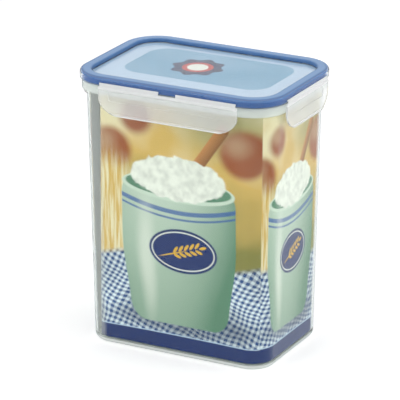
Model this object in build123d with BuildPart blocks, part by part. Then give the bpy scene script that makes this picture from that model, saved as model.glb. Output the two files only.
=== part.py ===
"""Tall food keeper with a snap-on lid, four hinged locking flaps and a printed card insert.

Millimetres. X runs along the long side, Y along the short side and Z up. The origin is the
middle of the base, where the container stands. Many sections are drawn as outward and height:
outward is the distance outside the walls' outer face at the mouth, and height is above the base.
"""

import os
from math import radians, sqrt, tan

from build123d import *

os.makedirs("parts", exist_ok=True)

# Container: the walls at the mouth, and how they lean
mouth_length = 137.2
mouth_width = 93.4
mouth_radius = 19.5
body_height = 181.4
wall = 1.4
wall_draft = 1.3

# Container: base
floor = 1.8
foot_height = 0.8
foot_width = 4.0
base_edge = 4.0
floor_edge = 3.0

# Container: the collar that the flaps catch, and the lip that meets the seal
collar_height = 6.2
collar_reach = 3.1
collar_wall = 1.3
collar_edge = 0.6
lip_height = 2.2

# Lid: heights, walls and the plug wall that stands inside the container
lid_rise = 5.8
lid_wall = 1.1
panel_drop = 2.6
panel_thickness = 1.3
plug_depth = 2.7
plug_clearance = 0.2

# Lid: the rim, a channel upside down whose outer wall is the skirt
rim_reach = 4.3
rim_width = 7.8
rim_crown = 2.0
rim_inner_crown = 1.0
skirt_wall = 1.3
skirt_drop = 5.5
skirt_edge = 0.3
plug_edge = 0.4

# Coloured seal, seen through the rim, and the sloping shelf inside it
shelf_rise = 0.3
shelf_slope = 0.5
seal_clearance = 0.1
seal_lip_clearance = 0.25
seal_edge = 0.4
seal_crown = 0.8

# Living hinges, drawn as a bead that turns in a groove
hinge_rise = 1.9
hinge_reach = 4.6
bead_radius = 0.55
bead_clearance = 0.05
strip_above = 0.3
strip_below = 0.9
strip_gap = 12.4
recess_drop = 3.2
recess_inward = 0.35
recess_end = 0.2
web_thickness = 0.4
web_offset = 0.12

# Flaps
long_flap_width = 98.5
long_flap_corner = (19.0, 11.0)
short_flap_width = 58.9
short_flap_corner = (16.0, 12.0)
flap_height = 18.5
flap_top_gap = 1.0
flap_reach = 5.45
flap_thickness = 1.3
ridge_proud = 0.3
ridge_height = 1.6
ridge_round = 0.7
lip_round = 0.6
hinge_inset = 1.0

# Catch bar on the inside of each flap, and the shallow recess in front of it
bar_clearance = 0.2
bar_drop = 0.3
bar_height = 2.9
bar_face = 1.0
bar_inset = 7.5
recess_depth = 0.35
recess_top_gap = 2.5
recess_height = 6.4
recess_corner = 1.5

# Printed card: a sheet wrapped inside the walls, and a panel under the lid
card = 0.4
sleeve_clearance = 0.25
sleeve_seat = 0.1
sleeve_lid_gap = 1.0
sleeve_reach_top = 2.1
sleeve_reach_foot = 5.8
sleeve_wrap = 8.0
lid_card_margin = 0.6
lid_card_gap = 0.1

# Heights that follow from the sizes above
lip_top = body_height
collar_top = body_height - lip_height
collar_bottom = collar_top - collar_height
floor_top = foot_height + floor
lid_top = collar_top + lid_rise
channel_roof = lid_top - lid_wall
panel_top = lid_top - panel_drop
panel_bottom = panel_top - panel_thickness
plug_bottom = collar_top - plug_depth
skirt_bottom = lid_top - skirt_drop
recess_top = lid_top - recess_drop
shelf_bottom = lip_top + shelf_rise
shelf_top = shelf_bottom + shelf_slope
hinge_height = collar_top + hinge_rise
flap_top = hinge_height - strip_below - flap_top_gap
flap_bottom = flap_top - flap_height
sleeve_top = plug_bottom - sleeve_lid_gap
# The sleeve stands where its outer face meets the rounded edge of the floor
sleeve_drop = sqrt(floor_edge**2 - (floor_edge - sleeve_clearance) ** 2)
sleeve_bottom = floor_top + floor_edge - sleeve_drop + sleeve_seat

# Outward distances that follow
rim_inner = rim_reach - rim_width
channel_inner = rim_inner + lid_wall
plug_outer = -wall - plug_clearance
plug_inner = plug_outer - lid_wall
skirt_inner = rim_reach - skirt_wall
recess_face = rim_reach - recess_inward
flap_face = flap_reach - ridge_proud
flap_inner = flap_face - flap_thickness
bar_inner = collar_reach + bar_clearance

# Middle of each rounded corner, the same at every height
corner_x = mouth_length / 2 - mouth_radius
corner_y = mouth_width / 2 - mouth_radius

# Upright planes on the four walls at the mouth: x along the side, y up, z out of the container
front = Plane((0, -mouth_width / 2, 0), x_dir=(1, 0, 0), z_dir=(0, -1, 0))
right = Plane((mouth_length / 2, 0, 0), x_dir=(0, 1, 0), z_dir=(1, 0, 0))
back = Plane((0, mouth_width / 2, 0), x_dir=(-1, 0, 0), z_dir=(0, 1, 0))
left = Plane((-mouth_length / 2, 0, 0), x_dir=(0, -1, 0), z_dir=(-1, 0, 0))

# Where the hinges run along each side, as pairs of distances from the side's middle. A gap in
# the middle parts the long sides' hinges in two.
long_end = long_flap_width / 2 - hinge_inset
short_end = short_flap_width / 2 - hinge_inset
long_spans = [(-long_end, -strip_gap / 2), (strip_gap / 2, long_end)]
short_spans = [(-short_end, short_end)]
side_spans = [(front, long_spans), (right, short_spans), (back, long_spans), (left, short_spans)]

# The line round the mouth that every ring-shaped section follows. It runs clockwise, seen from
# above, as the sections face.
with BuildLine() as mouth_line:
    FilletPolyline(
        (-mouth_length / 2, mouth_width / 2),
        (mouth_length / 2, mouth_width / 2),
        (mouth_length / 2, -mouth_width / 2),
        (-mouth_length / 2, -mouth_width / 2),
        radius=mouth_radius,
        close=True,
    )
mouth_path = mouth_line.wire()


def wall_size(height, inset=0.0):
    """Length, width and corner radius of the walls' outer face at a height, drawn in by inset."""
    drawn_in = (collar_bottom - height) * tan(radians(wall_draft)) + inset
    return mouth_length - 2 * drawn_in, mouth_width - 2 * drawn_in, mouth_radius - drawn_in


def across(side, along=0.0):
    """The plane across a side at a distance along it: x is outward and y is height."""
    return Plane(side.origin + side.x_dir * along, x_dir=side.z_dir, z_dir=-side.x_dir)


def ring(points, radii, mode=Mode.ADD):
    """Sweep a closed section, given as outward and height, once round the mouth."""
    with BuildSketch(across(front)) as section:
        with BuildLine():
            FilletPolyline(*points, radius=radii, close=True)
        make_face()
    sweep(section.sketch, path=mouth_path, mode=mode)


def bar(side, start, end, points, radii, mode=Mode.ADD):
    """Run a closed section, given as outward and height, straight along a side."""
    with BuildSketch(across(side, end)) as section:
        with BuildLine():
            FilletPolyline(*points, radius=radii, close=True)
        make_face()
    extrude(section.sketch, amount=end - start, mode=mode)


def round_bar(side, start, end, radius, mode=Mode.ADD):
    """Run a round section about the hinge line straight along a side."""
    with BuildSketch(across(side, end)) as section:
        with Locations((hinge_reach, hinge_height)):
            Circle(radius)
    extrude(section.sketch, amount=end - start, mode=mode)


def flap(side, width, corner, spans):
    """One locking flap: a plate with a ridge and a lip, its catch bar, and its hinge bead."""
    half = width / 2
    corner_width, corner_height = corner
    outline_bottom = flap_bottom - lip_round
    with BuildPart() as piece:
        # The plate, thicker along its top ridge and its bottom lip
        plate = [
            (flap_inner, flap_bottom),
            (flap_reach, flap_bottom),
            (flap_reach, flap_bottom + ridge_height),
            (flap_face, flap_bottom + ridge_height + ridge_proud),
            (flap_face, flap_top - ridge_height - ridge_proud),
            (flap_reach, flap_top - ridge_height),
            (flap_reach, flap_top),
            (flap_inner, flap_top),
        ]
        plate_radii = [lip_round, lip_round, 0, 0, 0, 0, ridge_round, lip_round]
        bar(side, -half - lip_round, half + lip_round, plate, plate_radii)
        # Its outline, with the lower corners swept up in quarter ellipses
        with BuildSketch(side.offset(flap_inner - lip_round)):
            with BuildLine():
                Polyline(
                    (-half, flap_bottom + corner_height),
                    (-half, flap_top + lip_round),
                    (half, flap_top + lip_round),
                    (half, flap_bottom + corner_height),
                )
                EllipticalCenterArc(
                    (half - corner_width, flap_bottom + corner_height),
                    corner_width, corner_height + lip_round, start_angle=270, arc_size=90,
                )
                Line((half - corner_width, outline_bottom), (corner_width - half, outline_bottom))
                EllipticalCenterArc(
                    (corner_width - half, flap_bottom + corner_height),
                    corner_width, corner_height + lip_round, start_angle=180, arc_size=90,
                )
            make_face()
        extrude(amount=flap_reach - flap_inner + 2 * lip_round, mode=Mode.INTERSECT)
        # The shallow recess in the face
        with BuildSketch(side.offset(flap_face - recess_depth)):
            with Locations((0, flap_top - recess_top_gap - recess_height / 2)):
                RectangleRounded(width - 2 * bar_inset, recess_height, recess_corner)
        extrude(amount=recess_depth + ridge_proud, mode=Mode.SUBTRACT)
        # The catch bar that snaps under the collar
        bar_top = collar_bottom - bar_drop
        catch = [
            (flap_inner + lip_round, bar_top),
            (bar_inner, bar_top),
            (bar_inner, bar_top - bar_face),
            (flap_inner, bar_top - bar_height),
            (flap_inner + lip_round, bar_top - bar_height),
        ]
        bar(side, bar_inset - half, half - bar_inset, catch, [0, 0.2, 0.2, 0, 0])
        # The thin web and the bead that turns in the lid's groove
        web = [
            (hinge_reach + web_offset, flap_top - lip_round),
            (hinge_reach + web_offset + web_thickness, flap_top - lip_round),
            (hinge_reach + web_offset + web_thickness, hinge_height),
            (hinge_reach + web_offset, hinge_height),
        ]
        for start, end in spans:
            bar(side, start, end, web, 0)
            round_bar(side, start, end, bead_radius)
    return piece


with BuildPart() as container_body:
    # The walls lean out from the base to the collar, and stand upright from there to the lip
    with BuildSketch():
        RectangleRounded(*wall_size(0))
    extrude(amount=collar_bottom, taper=-wall_draft)
    fillet(container_body.faces().sort_by(Axis.Z)[0].edges(), base_edge)
    with BuildSketch(Plane.XY.offset(collar_bottom)):
        RectangleRounded(*wall_size(collar_bottom))
    extrude(amount=lip_top - collar_bottom)
    # The inside
    with BuildSketch(Plane.XY.offset(floor_top)):
        RectangleRounded(*wall_size(floor_top, wall))
    extrude(amount=collar_bottom - floor_top, taper=-wall_draft, mode=Mode.SUBTRACT)
    with BuildSketch(Plane.XY.offset(collar_bottom)):
        RectangleRounded(*wall_size(collar_bottom, wall))
    extrude(amount=lip_top - collar_bottom, mode=Mode.SUBTRACT)
    inner_floor = container_body.faces().filter_by(Axis.Z).filter_by_position(
        Axis.Z, floor_top - floor / 4, floor_top + floor / 4
    )
    fillet(inner_floor.edges(), floor_edge)
    # A shallow hollow under the base leaves a foot round the edge
    with BuildSketch():
        RectangleRounded(*wall_size(0, base_edge + foot_width))
    extrude(amount=foot_height, mode=Mode.SUBTRACT)
    # The collar: a flange with an apron that hangs from it
    ring(
        [
            (-wall / 2, collar_top - collar_wall),
            (collar_reach - collar_wall, collar_top - collar_wall),
            (collar_reach - collar_wall, collar_bottom),
            (collar_reach, collar_bottom),
            (collar_reach, collar_top),
            (-wall / 2, collar_top),
        ],
        [0, collar_edge, 0, collar_edge / 2, collar_edge, 0],
    )

with BuildPart() as label_sleeve:
    # A sheet that lines the walls
    with BuildSketch(Plane.XY.offset(sleeve_bottom)):
        RectangleRounded(*wall_size(sleeve_bottom, wall + sleeve_clearance))
    extrude(amount=collar_bottom - sleeve_bottom, taper=-wall_draft)
    with BuildSketch(Plane.XY.offset(collar_bottom)):
        RectangleRounded(*wall_size(collar_bottom, wall + sleeve_clearance))
    extrude(amount=sleeve_top - collar_bottom)
    with BuildSketch(Plane.XY.offset(sleeve_bottom)):
        RectangleRounded(*wall_size(sleeve_bottom, wall + sleeve_clearance + card))
    extrude(amount=collar_bottom - sleeve_bottom, taper=-wall_draft, mode=Mode.SUBTRACT)
    with BuildSketch(Plane.XY.offset(collar_bottom)):
        RectangleRounded(*wall_size(collar_bottom, wall + sleeve_clearance + card))
    extrude(amount=sleeve_top - collar_bottom, mode=Mode.SUBTRACT)
    # Its two ends stop short of each other at the front left corner. The front end leans, as
    # a straight sheet's edge does in a tapered box, and the side end wraps into the corner
    with BuildSketch(Plane.XZ.offset(corner_y + sleeve_wrap)):
        with BuildLine():
            Polyline(
                (-corner_x - sleeve_reach_foot, sleeve_bottom),
                (-corner_x - sleeve_reach_top, sleeve_top),
                (-mouth_length, sleeve_top),
                (-mouth_length, sleeve_bottom),
                close=True,
            )
        make_face()
    extrude(amount=mouth_width, mode=Mode.SUBTRACT)

with BuildPart() as lid_panel:
    # The rim: a channel over the lip, with the plug wall inside it and the skirt outside it
    ring(
        [
            (plug_inner, plug_bottom),
            (plug_outer, plug_bottom),
            (plug_outer, shelf_bottom),
            (channel_inner, shelf_top),
            (channel_inner, channel_roof),
            (skirt_inner, channel_roof),
            (skirt_inner, skirt_bottom),
            (rim_reach, skirt_bottom),
            (rim_reach, lid_top),
            (rim_inner, lid_top),
            (rim_inner, panel_bottom),
            (plug_inner, panel_bottom),
        ],
        [plug_edge, plug_edge, 0, 0, seal_edge, rim_crown - lid_wall, 0, skirt_edge, rim_crown,
         rim_inner_crown, 0, 0],
    )
    # The sunk panel
    with BuildSketch(Plane.XY.offset(panel_bottom)):
        RectangleRounded(*wall_size(collar_bottom, -(rim_inner + channel_inner) / 2))
    extrude(amount=panel_thickness)
    # A recess in the skirt's face along each hinge, and in it the strip that carries the flap,
    # with a groove for the hinge bead
    recess = [
        (recess_face, skirt_bottom - skirt_edge),
        (rim_reach + skirt_edge, skirt_bottom - skirt_edge),
        (rim_reach + skirt_edge, recess_top),
        (recess_face, recess_top),
    ]
    strip = [
        (rim_reach - skirt_wall / 2, hinge_height - strip_below),
        (hinge_reach, hinge_height - strip_below),
        (hinge_reach, hinge_height + strip_above),
        (rim_reach - skirt_wall / 2, hinge_height + strip_above),
    ]
    for side, spans in side_spans:
        for start, end in spans:
            bar(side, start - recess_end, end + recess_end, recess, 0, mode=Mode.SUBTRACT)
            bar(side, start, end, strip, 0)
            round_bar(side, start, end, bead_radius + bead_clearance, mode=Mode.SUBTRACT)

with BuildPart() as lid_seal:
    # The seal fills the channel's roof, and its outer half hangs beside the container's lip
    ring(
        [
            (plug_outer + seal_clearance, lip_top),
            (seal_lip_clearance, lip_top),
            (seal_lip_clearance, skirt_bottom + seal_clearance),
            (skirt_inner - seal_clearance, skirt_bottom + seal_clearance),
            (skirt_inner - seal_clearance, channel_roof - seal_clearance),
            (channel_inner + seal_clearance, channel_roof - seal_clearance),
            (channel_inner + seal_clearance, shelf_top + seal_clearance),
            (plug_outer + seal_clearance, shelf_bottom + seal_clearance),
        ],
        [0, 0, seal_edge, seal_edge, seal_crown, seal_edge, 0, 0],
    )

with BuildPart() as lid_card:
    # A printed panel close under the lid's sunk panel, inside the plug wall
    with BuildSketch(Plane.XY.offset(panel_bottom - lid_card_gap - card)):
        RectangleRounded(*wall_size(collar_bottom, lid_card_margin - plug_inner))
    extrude(amount=card)

front_flap = flap(front, long_flap_width, long_flap_corner, long_spans)
right_flap = flap(right, short_flap_width, short_flap_corner, short_spans)
back_flap = flap(back, long_flap_width, long_flap_corner, long_spans)
left_flap = flap(left, short_flap_width, short_flap_corner, short_spans)

pieces = {
    "container_body": container_body,
    "label_sleeve": label_sleeve,
    "lid_panel": lid_panel,
    "lid_seal": lid_seal,
    "lid_card": lid_card,
    "front_flap": front_flap,
    "right_flap": right_flap,
    "back_flap": back_flap,
    "left_flap": left_flap,
}
for name, piece in pieces.items():
    piece.part.label = name
    export_step(piece.part, f"parts/{name}.step")
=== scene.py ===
import math

import bpy
from bpy.props import FloatProperty, FloatVectorProperty, IntProperty, PointerProperty
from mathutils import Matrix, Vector


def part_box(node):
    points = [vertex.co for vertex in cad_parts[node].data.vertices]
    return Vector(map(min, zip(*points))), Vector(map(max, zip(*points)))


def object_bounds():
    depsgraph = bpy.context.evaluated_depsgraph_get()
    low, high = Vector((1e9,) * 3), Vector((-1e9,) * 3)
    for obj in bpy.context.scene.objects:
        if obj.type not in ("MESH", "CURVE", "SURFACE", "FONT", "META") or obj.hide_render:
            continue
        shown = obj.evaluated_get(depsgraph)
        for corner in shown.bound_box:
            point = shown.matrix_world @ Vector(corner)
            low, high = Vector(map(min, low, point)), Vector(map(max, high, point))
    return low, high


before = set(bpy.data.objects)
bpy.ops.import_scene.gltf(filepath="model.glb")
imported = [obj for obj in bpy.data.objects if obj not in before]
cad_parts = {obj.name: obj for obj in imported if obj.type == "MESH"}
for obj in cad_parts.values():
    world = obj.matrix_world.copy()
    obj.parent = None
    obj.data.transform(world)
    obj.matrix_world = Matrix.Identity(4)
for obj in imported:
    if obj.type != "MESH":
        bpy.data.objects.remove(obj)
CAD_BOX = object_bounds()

bl_info = {
    "name": "Clear Snap-Lid Keeper",
    "version": (1, 0, 0),
    "blender": (4, 5, 0),
    "location": "3D View > Sidebar > Keeper",
    "description": "Gives a clear food keeper its plastics, printed cards and stage",
    "category": "Object",
}

MM = 1000.0  # millimetres in a metre: the prints and the rim are laid out in millimetres
TALL = 1000.0  # millimetres, past the height of anything here

# Where the flat walls of the keeper turn into its round corners, measured from the
# middle, and the radii there of the printed sheet and the mouth, in millimetres
FLAT_X = 49.1
FLAT_Y = 27.2
SHEET_RADIUS = 16.6
MOUTH_RADIUS = 19.5

# On the lid's rim, millimetres outside the line of the mouth: the outer face of the
# seal, past which its blue fades out, and the middle of the painted highlight along the
# rim. The painted highlight is full as far as CROWN_FULL to each side, and gone at
# CROWN_HALF.
SEAL_OUT = 2.9
SEAL_FADE = 0.9
CROWN_OUT = -0.4
CROWN_FULL = 1.3
CROWN_HALF = 4.5

# Heights in metres: of the thin web and bead at the top of each flap, of the thick
# ridge below that web, and of the lip along the flap's foot
HINGE_BAND = 0.0026
RIDGE_BAND = 0.0017
LIP_BAND = 0.00085

# In metres: from the lid's top down to where its rim is upright and to the underside
# of the thick collar, and from the ground up to the top of the base's rounded edge.
# A fade is how softly the look changes there, or at the scuffed corner.
CROWN_DEPTH = 0.002
COLLAR_DEPTH = 0.0122
COLLAR_FADE = 0.0004
FLOOR_DEPTH = 0.0042
FLOOR_FADE = 0.001
CORNER_FADE = 0.004

# Noise scales to the metre, for handling marks drawn about 3 mm across so that they
# show and for paper fibres 0.4 mm across, and the range that most of a noise is in
MARK_SCALE = 330.0
FIBRE_SCALE = 2500.0
NOISE_LOW = 0.3
NOISE_HIGH = 0.7

SMOOTH = {"interpolation_type": "SMOOTHSTEP"}

# Layer Weight's Facing where a clear wall starts to be seen edge on, and where it is
EDGE_START = 0.65
EDGE_FULL = 0.84

# The sleeve's picture, in millimetres from a panel's middle and from the ground. An
# ellipse is its centre and its two radii.
LEAVES = ((36.0, 160.0), (30.0, 17.0))
FRUIT = (((47.0, 146.0), 17.0, 0.22), ((-49.0, 137.0), 15.0, 0.25),
         ((-30.0, 160.0), 11.0, 0.4))  # centre, radius and softness of each
SHEAF = ((-52.0, 92.0), (26.0, 40.0))
GLEAM = ((-24.0, 66.0), (5.5, 34.0))
PLAQUE = (3.0, 74.0)
PLAQUE_RADII = ((24.5, 15.0), (22.8, 13.3), (22.0, 12.5))
RINGS = ((22.0, 1.5), (26.5, 0.7))  # depth below the crock's rim, and half the width
RING_SOFT = 0.35
RING_DIP = 7.0  # how much lower a ring is in its middle
BELLY_HEIGHT = 62.0  # from the crock's foot up to its shoulder
BELLY_SLIM = 0.86  # the foot's share of the shoulder's width
CROCK_CORNER = 13.0
LIT_SIDE = 0.35  # how far left of its middle the crock is lightest, of half its width
FAR_SHADE = 0.38
FOOT_SHADE = 0.62
RIM_SHADE = 0.08
SCOOP = (21.0, 22.0)  # the handle's middle, from the middle of the crock's rim
SCOOP_HALF = (4.0, 24.0)
SCOOP_LEAN = math.radians(-35)
WOOD_SHADE = (1.25, 0.55)  # how light its left side is, and its right
EAR_LEAN = math.radians(18)
STEM = ((-8.0, 0.0), (9.5, 0.5))
TOP_GRAIN = (15.0, 0.0)
GRAIN_ROWS = 5
GRAIN_START = -5.0
GRAIN_STEP = 4.1
GRAIN_SIDE = 2.2  # from the stem's line
GRAIN_RADII = (2.7, 1.0)
GRAIN_LEAN = math.radians(38)
PRINT_EDGE = 0.12  # how soft a sharp edge of the print is
BAND_LINE = 0.75  # how far the fine pale line stands over the band
BAND_WAVE = (0.028, -0.7)  # the band's top edge: radians to the millimetre, and depth
CLOTH_SAG = (0.07, 4.0)  # the same for the cloth's far edge
CLOTH_SOFT = 2.0
CLOTH_TURN = math.radians(21)
CLOTH_SQUEEZE = 1.25  # the checks look shorter up the sheet, as on a table seen low
STRIPE_SOFT = 0.04  # of a check's period
FOLD_SCALE = 0.035  # folds to the millimetre
FOLD_SWAY = 9.0
FOLD_SHADE = (0.72, 1.08)  # how dark and how light a fold makes the cloth
STALK_LEAN = math.radians(14)
STALK_SCALE = (0.55, 0.035, 1.0)  # streaks to the millimetre, across and along
BLUR_SCALE = 0.028  # patches of the blurred room to the millimetre
BLUR_DEPTH = 0.62
ROOM_HEIGHTS = (62.0, 178.0)  # between them the room turns paler
ROOM_SHADE = (0.62, -0.08)  # at those heights
LUMP_SCALE = 0.16  # lumps of flour to the millimetre
LUMP_SWAY = (3.0, 6.0, 0.0)
LUMP_SHADE = (0.8, 1.04)
# How the picture is fitted to a wide panel and to a narrow one: its scale and its shift
WIDE_FIT = ((1.0, 1.0, 1.0), (-4.0, 0.0, 0.0))
NARROW_FIT = ((1.36, 1.06, 1.0), (7.0, -2.0, 0.0))

# The lid card's picture, in millimetres from its middle
FIELD = ((0.0, 6.5), (52.0, 28.5), 14.0)  # centre, half size and corner radius
ROSETTE = (-8.0, 6.0)
ROSETTE_PARTS = (0.62, 0.42)  # the ring's and the heart's share of its radius
ROSETTE_SOFT = 0.25
PETAL_DEPTH = 1.5
DRIFT_SCALE = 0.018  # pale patches of the field to the millimetre
DRIFT_FADE = 0.3

# The coat of the cards: its roughness, and how deep its fibres are in metres
CARD_GLOSS = (0.34, 0.46)
FIBRE_DEPTH = 0.00002

# Each lamp: its name, its place and the side of its square in metres, and the setting
# that holds its power. All of them point at LAMP_AIM.
LAMPS = (("lamp_top", (0.0, 0.15, 1.3), 1.1, "top_power"),
         ("lamp_right", (1.15, 0.25, 0.5), 0.9, "right_power"),
         ("lamp_front", (-0.7, -1.3, 0.7), 1.0, "front_power"))
LAMP_AIM = (0.0, 0.0, 0.1)
SENSOR_WIDTH = 36.0  # millimetres, as the lens setting takes it
FAR_CLIP = 50.0
FLOOR_SIZE = 8.0


def linear(text):
    """Turn an sRGB hex value into the linear colour that a shader takes."""
    parts = [int(text[i:i + 2], 16) / 255 for i in (1, 3, 5)]
    return tuple(c / 12.92 if c <= 0.04045 else ((c + 0.055) / 1.055) ** 2.4
                 for c in parts) + (1.0,)


def colour(name, description, text):
    """A colour property whose default is an sRGB hex value."""
    return FloatVectorProperty(name=name, description=description, subtype="COLOR",
                               size=4, min=0.0, max=1.0, default=linear(text))


def length(name, description, metres):
    """A length property in metres."""
    return FloatProperty(name=name, description=description, default=metres,
                         subtype="DISTANCE", unit="LENGTH", precision=5)


def share(name, description, value):
    """A property from 0 to 1."""
    return FloatProperty(name=name, description=description, default=value,
                         min=0.0, max=1.0, subtype="FACTOR")


class KeeperPlastics(bpy.types.PropertyGroup):
    """The moulded plastics of the keeper."""
    body_tint: colour("Body tint", "Tint of the clear container", "#F1F6F3")
    body_haze: share("Body haze", "How milky the clear container is", 0.01)
    collar_haze: share("Collar haze", "How milky its thick collar is", 0.45)
    floor_haze: share("Floor haze", "How milky its thick floor and foot are", 0.97)
    corner_haze: share("Corner haze", "How scuffed its bare corner is", 0.18)
    lid_tint: colour("Lid tint", "Tint of the clear lid", "#F0F6FA")
    lid_haze: share("Lid haze", "How milky the clear lid is", 0.015)
    rim_blue: colour("Rim blue", "Light from the seal that the lid's rim takes up",
                     "#2C62A0")
    # A painted highlight: a lighter blue laid along the top of the rim
    rim_painted_highlight: colour("Rim glow", "The same light along the top of the rim", "#86AEDB")
    rim_haze: share("Rim haze", "How much of that light the rim scatters", 0.75)
    skirt_haze: share("Skirt haze", "How milky the lid's skirt is", 0.03)
    flap_tint: colour("Flap tint", "Tint of the locking flaps", "#F9FAFA")
    flap_haze: share("Flap haze", "How milky the locking flaps are", 0.32)
    hinge_haze: share("Hinge haze", "How much folding has whitened the hinges", 0.7)
    ridge_haze: share("Ridge haze", "How milky the flaps' thick ridge and lip are", 0.75)
    seal_colour: colour("Seal colour", "Colour of the blue seal", "#1B5290")
    edge_tint: colour("Edge tint", "Tint of a clear wall that is seen edge on", "#93A5AC")
    clear_ior: FloatProperty(name="Clear refraction", min=1.0, max=2.0, default=1.22,
                             description="Refractive index of the clear mouldings")
    clear_gloss: share("Clear roughness", "Roughness of the clear mouldings", 0.04)
    flap_gloss: share("Flap roughness", "Roughness of the locking flaps", 0.05)
    seal_gloss: share("Seal roughness", "Roughness of the blue seal", 0.34)
    ripple: length("Ripple", "Depth of the slow waves in a moulded wall", 0.00004)
    ripple_length: length("Ripple length", "Length of those waves", 0.022)


class KeeperSleevePrint(bpy.types.PropertyGroup):
    """The print on the card sleeve inside the walls."""
    cream: colour("Cream", "Lightest part of the background", "#F2E3BE")
    straw: colour("Straw", "Warm part of the background", "#DDB566")
    olive: colour("Olive", "Darkest part of the background", "#8C8543")
    amber: colour("Amber", "Soft round shapes in the background", "#98401F")
    crock_light: colour("Crock light", "Glaze of the crock in the light", "#D2DED0")
    crock_shade: colour("Crock shade", "Glaze of the crock in shade", "#5F8A71")
    crock_stripe: colour("Crock stripe", "Painted rings on the crock", "#2F5CA6")
    flour: colour("Flour", "Flour heaped in the crock", "#F4F2EA")
    grain: colour("Grain", "Ear of wheat on the crock's plaque", "#E2B23F")
    wood: colour("Wood", "Handle of the scoop", "#B77B47")
    cloth_light: colour("Cloth light", "White threads of the gingham", "#E6EEF6")
    cloth_dark: colour("Cloth dark", "Blue threads of the gingham", "#2C4F8C")
    band: colour("Band", "Plain band along the foot of the print", "#152E6B")
    band_line: colour("Band line", "Fine line over the band", "#B9CBE4")
    back: colour("Card back", "Unprinted back of the card", "#FBFBFA")
    check: length("Check", "Period of the gingham", 0.0042)
    band_top: length("Band top", "Height of the band's top edge", 0.0138)
    cloth_top: length("Cloth top", "Height of the cloth's far edge", 0.066)
    crock_width: length("Crock half width", "Half the width of the crock", 0.041)
    crock_foot: length("Crock foot", "Height of the crock's foot", 0.022)
    crock_rim: length("Crock rim", "Height of the crock's rim", 0.122)


class KeeperLidPrint(bpy.types.PropertyGroup):
    """The print on the card under the lid."""
    field: colour("Field", "Main colour of the card", "#6296AE")
    pale: colour("Pale", "Paler edge of the card", "#BCC9D6")
    navy: colour("Navy", "Petals of the rosette", "#0C1647")
    clay: colour("Clay", "Ring of the rosette", "#C4301F")
    cream: colour("Cream", "Heart of the rosette", "#F1E9D6")
    rosette: length("Rosette radius", "Radius of the rosette", 0.0165)
    petals: IntProperty(name="Petals", description="Petals of the rosette", default=8,
                        min=3, max=24)


class KeeperStage(bpy.types.PropertyGroup):
    """The camera, the lamps and the floor."""
    azimuth: FloatProperty(name="Azimuth", description="Camera's turn from the front",
                           default=math.radians(27.5775), subtype="ANGLE")
    elevation: FloatProperty(name="Elevation", description="Camera's height as an angle",
                             default=math.radians(19.8249), subtype="ANGLE")
    distance: length("Distance", "Camera's distance from the point it looks at", 2.0)
    aim_side: length("Aim sideways", "That point's offset to the camera's right",
                     -0.0029147)
    aim_up: length("Aim up", "That point's offset along the camera's up", 0.0016669)
    lens: FloatProperty(name="Lens", description="Focal length on a 36 mm sensor",
                        default=276.78, subtype="DISTANCE_CAMERA", unit="CAMERA")
    top_power: FloatProperty(name="Top lamp", description="Power of the lamp above",
                             default=4.0, subtype="POWER", unit="POWER")
    right_power: FloatProperty(name="Right lamp", description="Power of the right lamp",
                               default=5.0, subtype="POWER", unit="POWER")
    front_power: FloatProperty(name="Front lamp", description="Power of the front lamp",
                               default=7.0, subtype="POWER", unit="POWER")
    world: share("Room light", "Strength of the light from all round", 0.45)
    floor: colour("Floor", "Colour of the plain floor", "#F4F4F4")
    floor_glow: share("Floor glow", "Light added to the floor where it is seen", 0.42)


def add(tree, kind, settings=None, inputs=None):
    """Add a node, make its settings, and give its inputs values or links. A node that is
    given as an input stands for its first output."""
    node = tree.nodes.new(kind)
    for name, value in (settings or {}).items():
        setattr(node, name, value)
    for name, value in (inputs or {}).items():
        if isinstance(value, bpy.types.Node):
            value = value.outputs[0]
        if isinstance(value, bpy.types.NodeSocket):
            tree.links.new(value, node.inputs[name])
        else:
            node.inputs[name].default_value = value
    return node


def in_millimetres(tree, place):
    """A place in millimetres, which the prints and the rim are laid out in."""
    return add(tree, "ShaderNodeVectorMath", {"operation": "SCALE"},
               {0: place, "Scale": MM})


def apart(tree, value, middle):
    """How far a value is from the middle, to either side."""
    off = add(tree, "ShaderNodeMath", {"operation": "SUBTRACT"}, {0: value, 1: middle})
    return add(tree, "ShaderNodeMath", {"operation": "ABSOLUTE"}, {0: off})


def blank_material(name):
    """A new material with only its output node."""
    material = bpy.data.materials.new(name)
    material.use_nodes = True
    material.node_tree.nodes.clear()
    out = material.node_tree.nodes.new("ShaderNodeOutputMaterial")
    return material, material.node_tree, out


def dress(node, material):
    """Give a carried-over CAD node its material, in every slot."""
    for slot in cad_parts[node].material_slots:
        slot.material = material


def moulded_surface(tree, place, roughness, spread, ripple, ripple_length):
    """The skin of a moulding: slow waves left by shrinkage, and a gloss that varies."""
    waves = add(tree, "ShaderNodeTexNoise", {"noise_dimensions": "3D"},
                {"Vector": place, "Scale": 1 / ripple_length, "Detail": 2.0,
                 "Roughness": 0.4})
    bump = add(tree, "ShaderNodeBump", {},
               {"Strength": 1.0, "Distance": ripple, "Height": waves.outputs["Fac"]})
    marks = add(tree, "ShaderNodeTexNoise", {"noise_dimensions": "3D"},
                {"Vector": place, "Scale": MARK_SCALE, "Detail": 3.0, "Roughness": 0.6})
    gloss = add(tree, "ShaderNodeMapRange", {},
                {"Value": marks.outputs["Fac"], "From Min": NOISE_LOW,
                 "From Max": NOISE_HIGH, "To Min": roughness,
                 "To Max": roughness + spread})
    return bump.outputs["Normal"], gloss


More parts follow.
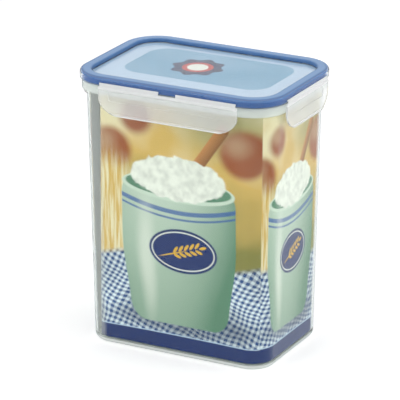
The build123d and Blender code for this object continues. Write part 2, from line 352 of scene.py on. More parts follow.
def worn_and_thick(look):
    """How the container looks: milkier at its collar and at its floor, where the
    plastic is thick, and a little scuffed at its bare corner. The function that is
    returned gives the base colour and the share of clearness."""
    def finish(tree, place, base):
        collar = CAD_BOX[1][2] - COLLAR_DEPTH
        floor = CAD_BOX[0][2] + FLOOR_DEPTH
        height = add(tree, "ShaderNodeSeparateXYZ", {}, {0: place}).outputs["Z"]
        high = add(tree, "ShaderNodeMapRange", {},
                   {"Value": height, "From Min": collar,
                    "From Max": collar + COLLAR_FADE,
                    "To Min": 1 - look.body_haze, "To Max": 1 - look.collar_haze})
        low = add(tree, "ShaderNodeMapRange", {},
                  {"Value": height, "From Min": floor - FLOOR_FADE, "From Max": floor,
                   "To Min": 1 - look.floor_haze, "To Max": 1.0})
        least = add(tree, "ShaderNodeMath", {"operation": "MINIMUM"}, {0: high, 1: low})
        # Hands hold it at the front left corner, where no print covers the scuffs
        past = add(tree, "ShaderNodeVectorMath", {"operation": "SUBTRACT"},
                   {0: (-FLAT_X / MM, -FLAT_Y / MM, 0.0), 1: place})
        past = add(tree, "ShaderNodeSeparateXYZ", {}, {0: past})
        past = add(tree, "ShaderNodeMath", {"operation": "MINIMUM"},
                   {0: past.outputs["X"], 1: past.outputs["Y"]})
        scuffed = add(tree, "ShaderNodeMapRange", SMOOTH,
                      {"Value": past, "From Max": CORNER_FADE,
                       "To Min": 1.0, "To Max": 1 - look.corner_haze})
        both = add(tree, "ShaderNodeMath", {"operation": "MULTIPLY"},
                   {0: least, 1: scuffed})
        return base, both
    return finish


def rim_masks(tree, place):
    """Three masks of the lid: the top of its rim over the seal, a painted highlight along
    the middle of that, and the skirt outside the seal."""
    height = add(tree, "ShaderNodeSeparateXYZ", {}, {0: place}).outputs["Z"]
    high = add(tree, "ShaderNodeMath", {"operation": "GREATER_THAN"},
               {0: height, 1: CAD_BOX[1][2] - CROWN_DEPTH})
    far = from_core(tree, in_millimetres(tree, place), (0.0, 0.0), (FLAT_X, FLAT_Y))
    out = add(tree, "ShaderNodeMath", {"operation": "SUBTRACT"},
              {0: far, 1: MOUTH_RADIUS})
    skirt = add(tree, "ShaderNodeMapRange", SMOOTH,
                {"Value": out, "From Min": SEAL_OUT, "From Max": SEAL_OUT + SEAL_FADE})
    covered = add(tree, "ShaderNodeMath", {"operation": "SUBTRACT", "use_clamp": True},
                  {0: high, 1: skirt})
    # The painted highlight: full near the middle of the rim's top, fading out to each side
    middle = add(tree, "ShaderNodeMapRange", SMOOTH,
                 {"Value": apart(tree, out, CROWN_OUT), "From Min": CROWN_HALF,
                  "From Max": CROWN_FULL})
    painted_highlight = add(tree, "ShaderNodeMath", {"operation": "MULTIPLY"},
                {0: covered, 1: middle})
    return covered, painted_highlight, skirt


def blue_rim(look):
    """How the lid's rim looks: it takes up the blue of the seal that it covers, a lighter
    blue is painted along its top as a highlight, and its skirt is a little milky. The
    function that is returned gives the base colour and the share of clearness."""
    def finish(tree, place, base):
        covered, painted_highlight, skirt = rim_masks(tree, place)
        # The top of the rim takes the seal's blue, with a lighter blue painted along it as
        # a highlight
        base = lay_over(tree, base, [(look.rim_blue, covered), (look.rim_painted_highlight, painted_highlight)])
        clear = add(tree, "ShaderNodeMath", {"operation": "MULTIPLY_ADD"},
                    {0: covered, 1: -look.rim_haze, 2: 1 - look.lid_haze})
        clear = add(tree, "ShaderNodeMath", {"operation": "MULTIPLY_ADD"},
                    {0: skirt, 1: -look.skirt_haze, 2: clear})
        return base, clear
    return finish


def folded_and_thick(look):
    """How a flap looks: folding whitens the thin web at its top, and its thick ridge and
    its lip are milkier than its plate. The function that is returned gives the base
    colour and the share of clearness."""
    def finish(tree, place, base):
        height = add(tree, "ShaderNodeSeparateXYZ", {}, {0: place}).outputs["Z"]
        low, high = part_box("front_flap")[0].z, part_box("front_flap")[1].z
        web = high - HINGE_BAND
        haze = look.flap_haze
        for foot, top, amount in ((web, high, look.hinge_haze),
                                  (web - RIDGE_BAND, web, look.ridge_haze),
                                  (low, low + LIP_BAND, look.ridge_haze)):
            band = add(tree, "ShaderNodeMath", {"operation": "COMPARE"},
                       {0: height, 1: (foot + top) / 2, 2: (top - foot) / 2})
            haze = add(tree, "ShaderNodeMath", {"operation": "MULTIPLY_ADD"},
                       {0: band, 1: amount - look.flap_haze, 2: haze})
        clear = add(tree, "ShaderNodeMath", {"operation": "SUBTRACT"}, {0: 1.0, 1: haze})
        return base, clear
    return finish


def clear_plastic(name, look, tint, finish, roughness, ripple):
    """A clear moulding. It bends what is behind it, and lamplight goes through it to
    the cards that it holds. Where a wall is seen edge on, there is more of it to look
    through, so its tint is deeper. finish gives its base colour and its clearness."""
    material, tree, out = blank_material(name)
    place = add(tree, "ShaderNodeTexCoord").outputs["Object"]
    facing = add(tree, "ShaderNodeLayerWeight", {}, {"Blend": 0.5}).outputs["Facing"]
    edge = add(tree, "ShaderNodeMapRange", SMOOTH,
               {"Value": facing, "From Min": EDGE_START, "From Max": EDGE_FULL})
    base, clear = finish(tree, place, lay_over(tree, tint, [(look.edge_tint, edge)]))
    normal, gloss = moulded_surface(tree, place, roughness, 0.04, ripple,
                                    look.ripple_length)
    plastic = add(tree, "ShaderNodeBsdfPrincipled", {},
                  {"Base Color": base, "Roughness": gloss, "IOR": look.clear_ior,
                   "Transmission Weight": clear, "Normal": normal})
    open_way = add(tree, "ShaderNodeBsdfTransparent", {}, {"Color": tint})
    ray = add(tree, "ShaderNodeLightPath")
    mixed = add(tree, "ShaderNodeMixShader", {},
                {0: ray.outputs["Is Shadow Ray"], 1: plastic, 2: open_way})
    tree.links.new(mixed.outputs[0], out.inputs["Surface"])
    return material


def ellipse(tree, point, centre, radii, soft, turn=0.0, full=1.0):
    """A mask that is full inside an ellipse and 0 outside, soft over a share of it."""
    laid = add(tree, "ShaderNodeMapping", {"vector_type": "TEXTURE"},
               {"Vector": point, "Location": (*centre, 0.0), "Rotation": (0.0, 0.0, turn),
                "Scale": (*radii, 1.0)})
    far = add(tree, "ShaderNodeVectorMath", {"operation": "LENGTH"}, {0: laid})
    return add(tree, "ShaderNodeMapRange", SMOOTH,
               {"Value": far.outputs["Value"], "From Min": 1 + soft,
                "From Max": 1 - soft, "To Min": 0.0, "To Max": full})


def from_core(tree, point, centre, core):
    """How far a point in millimetres is from an upright box with sharp corners, seen
    flat: 0 inside it. core is half the box's length and width."""
    away = add(tree, "ShaderNodeVectorMath", {"operation": "SUBTRACT"},
               {0: point, 1: (*centre, 0.0)})
    away = add(tree, "ShaderNodeVectorMath", {"operation": "ABSOLUTE"}, {0: away})
    away = add(tree, "ShaderNodeVectorMath", {"operation": "SUBTRACT"},
               {0: away, 1: (*core, TALL)})
    away = add(tree, "ShaderNodeVectorMath", {"operation": "MAXIMUM"},
               {0: away, 1: (0.0, 0.0, 0.0)})
    far = add(tree, "ShaderNodeVectorMath", {"operation": "LENGTH"}, {0: away})
    return far.outputs["Value"]


def round_box(tree, point, centre, half, radius, soft):
    """A mask that is 1 inside an upright box with round corners and 0 outside."""
    far = from_core(tree, point, centre, (half[0] - radius, half[1] - radius))
    return add(tree, "ShaderNodeMapRange", {},
               {"Value": far, "From Min": radius + soft, "From Max": radius - soft})


def lay_over(tree, under, layers):
    """Lay colours over one another, each through its mask, and return the last."""
    for over, mask in layers:
        mix = add(tree, "ShaderNodeMix", {"data_type": "RGBA"},
                  {0: mask, 6: under, 7: over})
        under = mix.outputs[2]
    return under


def unrolled_sheet(tree, place):
    """Where a point of the sleeve lies on the flat sheet: the point in millimetres
    from its panel's middle and from the ground, and 1 on the two narrow panels."""
    mm = in_millimetres(tree, place)
    part = add(tree, "ShaderNodeSeparateXYZ", {}, {0: mm})
    size = add(tree, "ShaderNodeVectorMath", {"operation": "ABSOLUTE"}, {0: mm})
    flat = add(tree, "ShaderNodeVectorMath", {"operation": "MINIMUM"},
               {0: size, 1: (FLAT_X, FLAT_Y, TALL)})
    past = add(tree, "ShaderNodeVectorMath", {"operation": "SUBTRACT"},
               {0: size, 1: flat})
    flat = add(tree, "ShaderNodeSeparateXYZ", {}, {0: flat})
    past = add(tree, "ShaderNodeSeparateXYZ", {}, {0: past})
    turn = add(tree, "ShaderNodeMath", {"operation": "ARCTAN2"},
               {0: past.outputs["X"], 1: past.outputs["Y"]})
    rest = add(tree, "ShaderNodeMath", {"operation": "SUBTRACT"},
               {0: math.pi / 2, 1: turn})
    product = add(tree, "ShaderNodeMath", {"operation": "MULTIPLY"},
                  {0: part.outputs["X"], 1: part.outputs["Y"]})
    side = add(tree, "ShaderNodeMath", {"operation": "SIGN"}, {0: product})
    other = add(tree, "ShaderNodeMath", {"operation": "MULTIPLY"}, {0: side, 1: -1.0})
    reach = []
    for axis, angle, way in (("X", turn, other), ("Y", rest, side)):
        arc = add(tree, "ShaderNodeMath", {"operation": "MULTIPLY_ADD"},
                  {0: angle, 1: SHEET_RADIUS, 2: flat.outputs[axis]})
        reach.append(add(tree, "ShaderNodeMath", {"operation": "MULTIPLY"},
                         {0: arc, 1: way}))
    is_narrow = add(tree, "ShaderNodeMath", {"operation": "GREATER_THAN"},
                    {0: turn, 1: math.pi / 4})
    across = add(tree, "ShaderNodeMix", {"data_type": "FLOAT"},
                 {0: is_narrow, 2: reach[0], 3: reach[1]})
    point = add(tree, "ShaderNodeCombineXYZ", {}, {"X": across, "Y": part.outputs["Z"]})
    return point, is_narrow


def gingham(tree, point, period, light, dark):
    """Woven checks: two sets of stripes whose crossings are darkest. Soft folds sway
    the checks and shade them."""
    fold = add(tree, "ShaderNodeTexNoise", {"noise_dimensions": "2D"},
               {"Vector": point, "Scale": FOLD_SCALE, "Detail": 1.0})
    sway = add(tree, "ShaderNodeVectorMath", {"operation": "MULTIPLY_ADD"},
               {0: fold.outputs["Color"], 1: (FOLD_SWAY, FOLD_SWAY, 0.0), 2: point})
    laid = add(tree, "ShaderNodeMapping", {"vector_type": "POINT"},
               {"Vector": sway, "Rotation": (0.0, 0.0, CLOTH_TURN),
                "Scale": (1 / period, CLOTH_SQUEEZE / period, 1.0)})
    halves = add(tree, "ShaderNodeVectorMath", {"operation": "FRACTION"}, {0: laid})
    ends = add(tree, "ShaderNodeSeparateXYZ", {}, {0: halves})
    stripes = []
    for axis in ("X", "Y"):
        stripes.append(add(tree, "ShaderNodeMapRange", {},
                           {"Value": apart(tree, ends.outputs[axis], 0.5),
                            "From Min": 0.25 - STRIPE_SOFT,
                            "From Max": 0.25 + STRIPE_SOFT, "To Max": 0.5}))
    depth = add(tree, "ShaderNodeMath", {"operation": "ADD"},
                {0: stripes[0], 1: stripes[1]})
    cloth = add(tree, "ShaderNodeMix", {"data_type": "RGBA"},
                {0: depth, 6: light, 7: dark})
    shade = add(tree, "ShaderNodeMapRange", {},
                {"Value": fold.outputs["Fac"], "From Min": NOISE_LOW,
                 "From Max": NOISE_HIGH, "To Min": FOLD_SHADE[0],
                 "To Max": FOLD_SHADE[1]})
    return add(tree, "ShaderNodeVectorMath", {"operation": "SCALE"},
               {0: cloth.outputs[2], "Scale": shade})


def stalks(tree, point, light, dark):
    """Straw seen out of focus: streaks that lean a little."""
    leaning = add(tree, "ShaderNodeMapping", {"vector_type": "POINT"},
                  {"Vector": point, "Rotation": (0.0, 0.0, STALK_LEAN),
                   "Scale": STALK_SCALE})
    streak = add(tree, "ShaderNodeTexNoise", {"noise_dimensions": "2D"},
                 {"Vector": leaning, "Scale": 1.0, "Detail": 3.0})
    amount = add(tree, "ShaderNodeMapRange", {},
                 {"Value": streak.outputs["Fac"], "From Min": 0.38, "From Max": 0.62})
    straw = add(tree, "ShaderNodeMix", {"data_type": "RGBA"},
                {0: amount, 6: dark, 7: light})
    return straw.outputs[2]


def kitchen_background(tree, point, look):
    """A warm room out of focus, paler towards its top."""
    blur = add(tree, "ShaderNodeTexNoise", {"noise_dimensions": "2D"},
               {"Vector": point, "Scale": BLUR_SCALE, "Detail": 2.0, "Roughness": 0.4})
    height = add(tree, "ShaderNodeSeparateXYZ", {}, {0: point})
    rise = add(tree, "ShaderNodeMapRange", {},
               {"Value": height.outputs["Y"], "From Min": ROOM_HEIGHTS[0],
                "From Max": ROOM_HEIGHTS[1], "To Min": ROOM_SHADE[0],
                "To Max": ROOM_SHADE[1]})
    mood = add(tree, "ShaderNodeMath", {"operation": "MULTIPLY_ADD"},
               {0: blur.outputs["Fac"], 1: BLUR_DEPTH, 2: rise})
    ramp = add(tree, "ShaderNodeValToRGB", {}, {0: mood})
    stops = ramp.color_ramp.elements
    stops[0].position, stops[0].color = 0.22, look.cream
    stops[1].position, stops[1].color = 0.86, look.olive
    stops.new(0.5).color = look.straw
    return ramp


def crock(tree, point, look):
    """A round stoneware crock heaped with flour, with a scoop standing in it. Its
    layers are returned in the order that they are laid."""
    half = look.crock_width * MM
    foot = look.crock_foot * MM
    rim = look.crock_rim * MM
    part = add(tree, "ShaderNodeSeparateXYZ", {}, {0: point})
    # The crock's sides: a box with round corners, a little wider at the shoulder
    belly = add(tree, "ShaderNodeMapRange", {"interpolation_type": "SMOOTHERSTEP"},
                {"Value": part.outputs["Y"], "From Min": foot,
                 "From Max": foot + BELLY_HEIGHT, "To Min": BELLY_SLIM})
    wide = add(tree, "ShaderNodeMath", {"operation": "DIVIDE"},
               {0: part.outputs["X"], 1: belly})
    across = add(tree, "ShaderNodeMath", {"operation": "DIVIDE"}, {0: wide, 1: half})
    seen = add(tree, "ShaderNodeCombineXYZ", {}, {"X": wide, "Y": part.outputs["Y"]})
    sides = round_box(tree, seen, (0.0, (foot + rim) / 2),
                      (half, (rim - foot) / 2), CROCK_CORNER, 0.4)
    # Light falls on it from the left, and it is darker and greener near its foot
    lit = add(tree, "ShaderNodeMath", {"operation": "ADD"}, {0: across, 1: LIT_SIDE})
    lit = add(tree, "ShaderNodeMath", {"operation": "MULTIPLY"}, {0: lit, 1: lit})
    low = add(tree, "ShaderNodeMapRange", {},
              {"Value": part.outputs["Y"], "From Min": foot, "From Max": rim,
               "To Min": FOOT_SHADE, "To Max": RIM_SHADE})
    shade = add(tree, "ShaderNodeMath", {"operation": "MULTIPLY_ADD", "use_clamp": True},
                {0: lit, 1: FAR_SHADE, 2: low})
    glaze = add(tree, "ShaderNodeMix", {"data_type": "RGBA"},
                {0: shade, 6: look.crock_light, 7: look.crock_shade})
    # Two painted rings, which curve down in the middle as rings do when seen from above
    dip = add(tree, "ShaderNodeMath", {"operation": "MULTIPLY"}, {0: across, 1: across})
    ring = add(tree, "ShaderNodeMath", {"operation": "MULTIPLY_ADD"},
               {0: dip, 1: -RING_DIP, 2: part.outputs["Y"]})
    bands = []
    for depth, reach in RINGS:
        band = add(tree, "ShaderNodeMapRange", {},
                   {"Value": apart(tree, ring, rim - depth), "From Min": reach + RING_SOFT,
                    "From Max": reach - RING_SOFT, "To Max": 0.8})
        bands.append((look.crock_stripe, band))
    gleam = ellipse(tree, seen, *GLEAM, 0.8, full=0.55)
    glaze = lay_over(tree, glaze.outputs[2], bands + [(look.flour, gleam)])
    # Flour in a loose heap over the rim, shaded with its own lumps
    lumps = add(tree, "ShaderNodeTexNoise", {"noise_dimensions": "2D"},
                {"Vector": point, "Scale": LUMP_SCALE, "Detail": 4.0})
    heaped = add(tree, "ShaderNodeVectorMath", {"operation": "MULTIPLY_ADD"},
                 {0: lumps.outputs["Color"], 1: LUMP_SWAY, 2: point})
    heap = ellipse(tree, heaped, (1.5, rim + 4.0), (half - 7, 15.0), 0.04)
    grain = add(tree, "ShaderNodeMapRange", {},
                {"Value": lumps.outputs["Fac"], "From Min": NOISE_LOW,
                 "From Max": 0.62, "To Min": LUMP_SHADE[0], "To Max": LUMP_SHADE[1]})
    flour = add(tree, "ShaderNodeVectorMath", {"operation": "SCALE"},
                {0: look.flour[:3], "Scale": grain})
    mouth = ellipse(tree, point, (0.0, rim - 5.5), (half - 0.5, 9.5), 0.02)
    inside = ellipse(tree, point, (0.0, rim - 4.8), (half - 3.0, 7.6), 0.03)
    shadow = ellipse(tree, point, (5.0, foot + 2.0), (half + 9, 8.5), 0.35, full=0.55)
    # The scoop's handle: a leaning bar with round ends
    turned = add(tree, "ShaderNodeMapping", {"vector_type": "TEXTURE"},
                 {"Vector": point, "Location": (SCOOP[0], rim + SCOOP[1], 0.0),
                  "Rotation": (0.0, 0.0, SCOOP_LEAN)})
    handle = round_box(tree, turned, (0.0, 0.0), SCOOP_HALF, SCOOP_HALF[0], 0.3)
    round_side = add(tree, "ShaderNodeSeparateXYZ", {}, {0: turned})
    side_light = add(tree, "ShaderNodeMapRange", {},
                     {"Value": round_side.outputs["X"], "From Min": -SCOOP_HALF[0],
                      "From Max": SCOOP_HALF[0], "To Min": WOOD_SHADE[0],
                      "To Max": WOOD_SHADE[1]})
    wood = add(tree, "ShaderNodeVectorMath", {"operation": "SCALE"},
               {0: look.wood[:3], "Scale": side_light})
    dark = tuple(c * 0.3 for c in look.cloth_dark[:3]) + (1.0,)
    plaque = [(paint, ellipse(tree, point, PLAQUE, radii, 0.03))
              for paint, radii in zip((look.band, look.flour, look.band), PLAQUE_RADII)]
    return [(dark, shadow), (wood, handle), (glaze, sides), (look.crock_light, mouth),
            (look.crock_shade, inside), (flour, heap), *plaque,
            (look.grain, ear_of_wheat(tree, point, PLAQUE))]


def ear_of_wheat(tree, point, centre):
    """A mask of an ear of wheat: a stem between two rows of leaning grains."""
    laid = add(tree, "ShaderNodeMapping", {"vector_type": "TEXTURE"},
               {"Vector": point, "Location": (*centre, 0.0),
                "Rotation": (0.0, 0.0, EAR_LEAN)})
    ear = ellipse(tree, laid, *STEM, 0.3)
    grains = [(TOP_GRAIN, 0.0)]
    for row in range(GRAIN_ROWS):
        for side in (-1, 1):
            grains.append(((GRAIN_START + GRAIN_STEP * row, side * GRAIN_SIDE),
                           side * GRAIN_LEAN))
    for place, lean in grains:
        grain = ellipse(tree, laid, place, GRAIN_RADII, 0.15, lean)
        ear = add(tree, "ShaderNodeMath", {"operation": "MAXIMUM"}, {0: ear, 1: grain})
    return ear


def over_wave(tree, part, shape, pace, depth):
    """The height of a point over a level line that waves."""
    wave = add(tree, "ShaderNodeMath", {"operation": "MULTIPLY"},
               {0: part.outputs["X"], 1: pace})
    wave = add(tree, "ShaderNodeMath", {"operation": shape}, {0: wave})
    return add(tree, "ShaderNodeMath", {"operation": "MULTIPLY_ADD"},
               {0: wave, 1: depth, 2: part.outputs["Y"]})


def sleeve_print(tree, place, look):
    """The whole print of the sleeve, from the background to the band at its foot."""
    point, narrow = unrolled_sheet(tree, place)
    # The narrow panels carry the same picture, slimmer and off centre
    squeeze = add(tree, "ShaderNodeMix", {"data_type": "VECTOR"},
                  {0: narrow, 4: WIDE_FIT[0], 5: NARROW_FIT[0]})
    shift = add(tree, "ShaderNodeMix", {"data_type": "VECTOR"},
                {0: narrow, 4: WIDE_FIT[1], 5: NARROW_FIT[1]})
    panel = add(tree, "ShaderNodeVectorMath", {"operation": "MULTIPLY_ADD"},
                {0: point, 1: squeeze.outputs[1], 2: shift.outputs[1]})
    part = add(tree, "ShaderNodeSeparateXYZ", {}, {0: point})
    picture = kitchen_background(tree, panel, look)
    # Green leaves far out of focus, round fruit in front of them and a sheaf of straw
    layers = [(look.olive, ellipse(tree, panel, *LEAVES, 0.7, full=0.7))]
    for (x, y), radius, soft in FRUIT:
        blob = ellipse(tree, panel, (x, y), (radius, radius * 0.94), soft, full=0.9)
        light = ellipse(tree, panel, (x - radius * 0.3, y + radius * 0.35),
                        (radius * 0.5, radius * 0.4), 0.9, full=0.28)
        layers += [(look.amber, blob), (look.cream, light)]
    sheaf = ellipse(tree, panel, *SHEAF, 0.3)
    layers.append((stalks(tree, panel, look.cream, look.straw), sheaf))
    # The cloth's far edge sags between its folds
    edge = over_wave(tree, part, "SINE", *CLOTH_SAG)
    cloth_top = look.cloth_top * MM
    cloth_mask = add(tree, "ShaderNodeMapRange", {},
                     {"Value": edge, "From Min": cloth_top + CLOTH_SOFT,
                      "From Max": cloth_top - CLOTH_SOFT})
    cloth = gingham(tree, point, look.check * MM, look.cloth_light, look.cloth_dark)
    layers.append((cloth, cloth_mask))
    layers += crock(tree, panel, look)
    # The band at the foot, with a fine pale line over it
    foot = over_wave(tree, part, "COSINE", *BAND_WAVE)
    top = look.band_top * MM
    for paint, edge_height in ((look.band_line, top + BAND_LINE), (look.band, top)):
        mask = add(tree, "ShaderNodeMapRange", {},
                   {"Value": foot, "From Min": edge_height + PRINT_EDGE,
                    "From Max": edge_height - PRINT_EDGE})
        layers.append((paint, mask))
    return lay_over(tree, picture, layers)


def lid_print(tree, place, look):
    """The print of the lid's card: a pale blue field with a rosette."""
    mm = in_millimetres(tree, place)
    drift = add(tree, "ShaderNodeTexNoise", {"noise_dimensions": "2D"},
                {"Vector": mm, "Scale": DRIFT_SCALE, "Detail": 1.0})
    drawn = round_box(tree, mm, *FIELD, 0.4)
    fade = add(tree, "ShaderNodeMapRange", {},
               {"Value": drift.outputs["Fac"], "From Min": NOISE_LOW,
                "From Max": NOISE_HIGH, "To Max": DRIFT_FADE})
    field = lay_over(tree, look.field, [(look.pale, fade)])
    # The rosette: petals round a ring, in polar coordinates about its middle
    offset = add(tree, "ShaderNodeVectorMath", {"operation": "SUBTRACT"},
                 {0: mm, 1: (*ROSETTE, 0.0)})
    flat = add(tree, "ShaderNodeVectorMath", {"operation": "MULTIPLY"},
               {0: offset, 1: (1.0, 1.0, 0.0)})
    radius = add(tree, "ShaderNodeVectorMath", {"operation": "LENGTH"}, {0: flat})
    axes = add(tree, "ShaderNodeSeparateXYZ", {}, {0: flat})
    angle = add(tree, "ShaderNodeMath", {"operation": "ARCTAN2"},
                {0: axes.outputs["Y"], 1: axes.outputs["X"]})
    petal = add(tree, "ShaderNodeMath", {"operation": "MULTIPLY"},
                {0: angle, 1: float(look.petals)})
    petal = add(tree, "ShaderNodeMath", {"operation": "COSINE"}, {0: petal})
    reach = add(tree, "ShaderNodeMath", {"operation": "MULTIPLY_ADD"},
                {0: petal, 1: -PETAL_DEPTH, 2: radius.outputs["Value"]})
    whole = look.rosette * MM
    masks = []
    for source, edge in ((reach, whole), *((radius.outputs["Value"], whole * part)
                                           for part in ROSETTE_PARTS)):
        mask = add(tree, "ShaderNodeMapRange", {},
                   {"Value": source, "From Min": edge + ROSETTE_SOFT,
                    "From Max": edge - ROSETTE_SOFT})
        masks.append(mask)
    return lay_over(tree, look.pale,
                    [(field, drawn), (look.navy, masks[0]), (look.clay, masks[1]),
                     (look.cream, masks[2])])


def printed_card(name, draw, look, back, front):
    """Coated card, offset printed on one side. front is a mask of the printed side."""
    material, tree, out = blank_material(name)
    coordinates = add(tree, "ShaderNodeTexCoord")
    place = coordinates.outputs["Object"]
    picture = draw(tree, place, look)
    printed = front(tree, place, coordinates.outputs["Normal"])
    seen = add(tree, "ShaderNodeMix", {"data_type": "RGBA"},
               {0: printed, 6: back, 7: picture})
    # Paper fibres make the coat's gloss uneven
    fibre = add(tree, "ShaderNodeTexNoise", {"noise_dimensions": "3D"},
                {"Vector": place, "Scale": FIBRE_SCALE, "Detail": 2.0})
    gloss = add(tree, "ShaderNodeMapRange", {},
                {"Value": fibre.outputs["Fac"], "From Min": NOISE_LOW,
                 "From Max": NOISE_HIGH, "To Min": CARD_GLOSS[0],
                 "To Max": CARD_GLOSS[1]})
    bump = add(tree, "ShaderNodeBump", {},
               {"Strength": 0.4, "Distance": FIBRE_DEPTH,
                "Height": fibre.outputs["Fac"]})
    card = add(tree, "ShaderNodeBsdfPrincipled", {},
               {"Base Color": seen.outputs[2], "Roughness": gloss, "IOR": 1.45,
                "Specular IOR Level": 0.1, "Normal": bump.outputs["Normal"]})
    tree.links.new(card.outputs[0], out.inputs["Surface"])
    return material


def seen_in_view(tree):
    """1 where a surface is seen: by the camera, mirrored, or through a clear wall."""
    ray = add(tree, "ShaderNodeLightPath")
    seen = add(tree, "ShaderNodeMath", {"operation": "MAXIMUM"},
               {0: ray.outputs["Is Camera Ray"], 1: ray.outputs["Is Glossy Ray"]})
    return add(tree, "ShaderNodeMath", {"operation": "MAXIMUM"},
               {0: seen, 1: ray.outputs["Is Transmission Ray"]})


def outer_side(tree, place, normal):
    """1 on the side of the sleeve that faces out through the walls."""
    level = add(tree, "ShaderNodeVectorMath", {"operation": "MULTIPLY"},
                {0: place, 1: (1.0, 1.0, 0.0)})
    outward = add(tree, "ShaderNodeVectorMath", {"operation": "DOT_PRODUCT"},
                  {0: level, 1: normal})
    return add(tree, "ShaderNodeMath", {"operation": "GREATER_THAN"},
               {0: outward.outputs["Value"], 1: 0.0})


def top_side(tree, place, normal):
    """1 on the side of a level card that faces up."""
    part = add(tree, "ShaderNodeSeparateXYZ", {}, {0: normal})
    return add(tree, "ShaderNodeMath", {"operation": "GREATER_THAN"},
               {0: part.outputs["Z"], 1: 0.5})


class KEEPER_OT_container(bpy.types.Operator):
    """Give the container its clear moulded plastic"""
    bl_idname = "keeper.container"
    bl_label = "Container"

    def execute(self, context):
        look = context.scene.keeper_plastics
        # Polypropylene, injection moulded and clarified: nearly clear, a little milky,
        # glossy outside, with slow waves that bend the print behind it
        dress("container_body",
              clear_plastic("clarified_polypropylene", look, look.body_tint,
                            worn_and_thick(look), look.clear_gloss, look.ripple))
        return {"FINISHED"}


class KEEPER_OT_lid(bpy.types.Operator):
    """Give the lid its clear moulded plastic"""
    bl_idname = "keeper.lid"
    bl_label = "Lid"

    def execute(self, context):
        look = context.scene.keeper_plastics
        # The same polypropylene, a little cooler in tint, and blue over the seal, with a
        # painted highlight along the top of its rim
        dress("lid_panel",
              clear_plastic("lid_polypropylene", look, look.lid_tint, blue_rim(look),
                            look.clear_gloss, look.ripple / 4))
        return {"FINISHED"}


class KEEPER_OT_seal(bpy.types.Operator):
    """Give the seal its blue silicone"""
    bl_idname = "keeper.seal"
    bl_label = "Seal"

    def execute(self, context):
        look = context.scene.keeper_plastics
        # Silicone rubber, press moulded and dyed: an even, deep blue with a soft shine,
        # which looks wet where it lies against the clear rim
        material, tree, out = blank_material("blue_silicone_rubber")
        place = add(tree, "ShaderNodeTexCoord").outputs["Object"]
        normal, gloss = moulded_surface(tree, place, look.seal_gloss, 0.06,
                                        look.ripple / 3, look.ripple_length)
        seal = add(tree, "ShaderNodeBsdfPrincipled", {},
                   {"Base Color": look.seal_colour, "Roughness": gloss, "IOR": 1.41,
                    "Specular IOR Level": 0.15, "Normal": normal})
        tree.links.new(seal.outputs[0], out.inputs["Surface"])
        dress("lid_seal", material)
        return {"FINISHED"}


class KEEPER_OT_flaps(bpy.types.Operator):
    """Give the four locking flaps their plastic"""
    bl_idname = "keeper.flaps"
    bl_label = "Flaps"

    def execute(self, context):
        look = context.scene.keeper_plastics
        # Polypropylene with a fine etched skin, so a flap looks whiter than the walls
        material = clear_plastic("etched_polypropylene", look, look.flap_tint,
                                 folded_and_thick(look), look.flap_gloss, look.ripple)
        for node in ("front_flap", "right_flap", "back_flap", "left_flap"):
            dress(node, material)
        return {"FINISHED"}


class KEEPER_OT_sleeve(bpy.types.Operator):
    """Print the card sleeve inside the walls"""
    bl_idname = "keeper.sleeve"
    bl_label = "Sleeve"

    def execute(self, context):
        look = context.scene.keeper_sleeve_print
        # Coated card, offset printed: even colours under a soft gloss, white at the back
        dress("label_sleeve", printed_card("offset_printed_card", sleeve_print, look,
                                           look.back, outer_side))
        return {"FINISHED"}


class KEEPER_OT_lid_card(bpy.types.Operator):
    """Print the card under the lid"""
    bl_idname = "keeper.lid_card"
    bl_label = "Lid card"

    def execute(self, context):
        look = context.scene.keeper_lid_print
        # The same coated card in pale blue
        dress("lid_card", printed_card("pale_blue_card", lid_print, look,
                                       context.scene.keeper_sleeve_print.back, top_side))
        return {"FINISHED"}


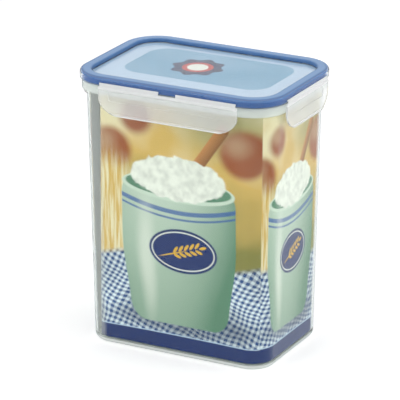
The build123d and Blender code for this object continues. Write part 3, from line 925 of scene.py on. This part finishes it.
class KEEPER_OT_stage(bpy.types.Operator):
    """Set up the camera, the lamps, the room and the floor"""
    bl_idname = "keeper.stage"
    bl_label = "Stage"

    def execute(self, context):
        scene = context.scene
        look = scene.keeper_stage
        self.set_camera(scene, look)
        self.set_lamps(scene, look)
        self.set_room(scene, look)
        self.lay_floor(scene, look)
        scene.view_settings.view_transform = "Standard"
        return {"FINISHED"}

    def set_camera(self, scene, look):
        """Stand the camera where the photograph was taken from."""
        turn, rise = look.azimuth, look.elevation
        back = Vector((math.sin(turn) * math.cos(rise), -math.cos(turn) * math.cos(rise),
                       math.sin(rise)))
        right = Vector((math.cos(turn), math.sin(turn), 0.0))
        up = back.cross(right)
        middle = Vector((0.0, 0.0, (CAD_BOX[0][2] + CAD_BOX[1][2]) / 2))
        data = bpy.data.cameras.new("camera")
        data.sensor_width = SENSOR_WIDTH
        data.lens = look.lens
        data.clip_end = FAR_CLIP
        camera = bpy.data.objects.new("camera", data)
        camera.location = (middle + right * look.aim_side + up * look.aim_up
                           + back * look.distance)
        camera.rotation_euler = back.to_track_quat("Z", "Y").to_euler()
        scene.collection.objects.link(camera)
        scene.camera = camera

    def set_lamps(self, scene, look):
        """Hang three soft boxes: above, to the right and in front."""
        for name, place, size, power in LAMPS:
            data = bpy.data.lights.new(name, "AREA")
            data.shape = "SQUARE"
            data.size = size
            data.energy = getattr(look, power)
            lamp = bpy.data.objects.new(name, data)
            lamp.location = place
            back = Vector(place) - Vector(LAMP_AIM)
            lamp.rotation_euler = back.to_track_quat("Z", "Y").to_euler()
            scene.collection.objects.link(lamp)

    def set_room(self, scene, look):
        """Make the room white where it is seen, and an even soft light elsewhere."""
        world = scene.world or bpy.data.worlds.new("room")
        scene.world = world
        world.use_nodes = True
        tree = world.node_tree
        tree.nodes.clear()
        strength = add(tree, "ShaderNodeMapRange", {},
                       {"Value": seen_in_view(tree), "To Min": look.world})
        light = add(tree, "ShaderNodeBackground", {},
                    {"Color": (1.0, 1.0, 1.0, 1.0), "Strength": strength})
        out = add(tree, "ShaderNodeOutputWorld")
        tree.links.new(light.outputs[0], out.inputs["Surface"])

    def lay_floor(self, scene, look):
        """Lay a plain floor that is white where it is seen and keeps the shadow."""
        bpy.ops.mesh.primitive_plane_add(size=FLOOR_SIZE,
                                         location=(0.0, 0.0, CAD_BOX[0][2]))
        floor = bpy.context.object
        floor.name = "floor"
        material, tree, out = blank_material("painted_board")
        glow = add(tree, "ShaderNodeMath", {"operation": "MULTIPLY"},
                   {0: seen_in_view(tree), 1: look.floor_glow})
        board = add(tree, "ShaderNodeBsdfDiffuse", {}, {"Color": look.floor})
        lift = add(tree, "ShaderNodeEmission", {},
                   {"Color": (1.0, 1.0, 1.0, 1.0), "Strength": glow})
        both = add(tree, "ShaderNodeAddShader", {}, {0: board, 1: lift})
        tree.links.new(both.outputs[0], out.inputs["Surface"])
        floor.data.materials.append(material)


GROUPS = (("keeper_plastics", KeeperPlastics), ("keeper_sleeve_print", KeeperSleevePrint),
          ("keeper_lid_print", KeeperLidPrint), ("keeper_stage", KeeperStage))
OPERATORS = (KEEPER_OT_stage, KEEPER_OT_container, KEEPER_OT_lid, KEEPER_OT_seal,
             KEEPER_OT_flaps, KEEPER_OT_sleeve, KEEPER_OT_lid_card)


class KEEPER_PT_panel(bpy.types.Panel):
    """The keeper's pieces and their settings"""
    bl_idname = "KEEPER_PT_panel"
    bl_label = "Keeper"
    bl_space_type = "VIEW_3D"
    bl_region_type = "UI"
    bl_category = "Keeper"

    def draw(self, context):
        column = self.layout.column(align=True)
        for operator in OPERATORS:
            column.operator(operator.bl_idname)
        for name, group in GROUPS:
            box = self.layout.box()
            box.label(text=group.__doc__)
            settings = getattr(context.scene, name)
            for item in group.__annotations__:
                box.prop(settings, item)


def register():
    for name, group in GROUPS:
        bpy.utils.register_class(group)
        setattr(bpy.types.Scene, name, PointerProperty(type=group))
    for operator in OPERATORS:
        bpy.utils.register_class(operator)
    bpy.utils.register_class(KEEPER_PT_panel)


def unregister():
    bpy.utils.unregister_class(KEEPER_PT_panel)
    for operator in reversed(OPERATORS):
        bpy.utils.unregister_class(operator)
    for name, group in reversed(GROUPS):
        delattr(bpy.types.Scene, name)
        bpy.utils.unregister_class(group)


def main():
    register()
    for operator in OPERATORS:
        piece = operator.bl_idname.split(".")[1]
        getattr(bpy.ops.keeper, piece)()


if __name__ == "__main__":
    main()
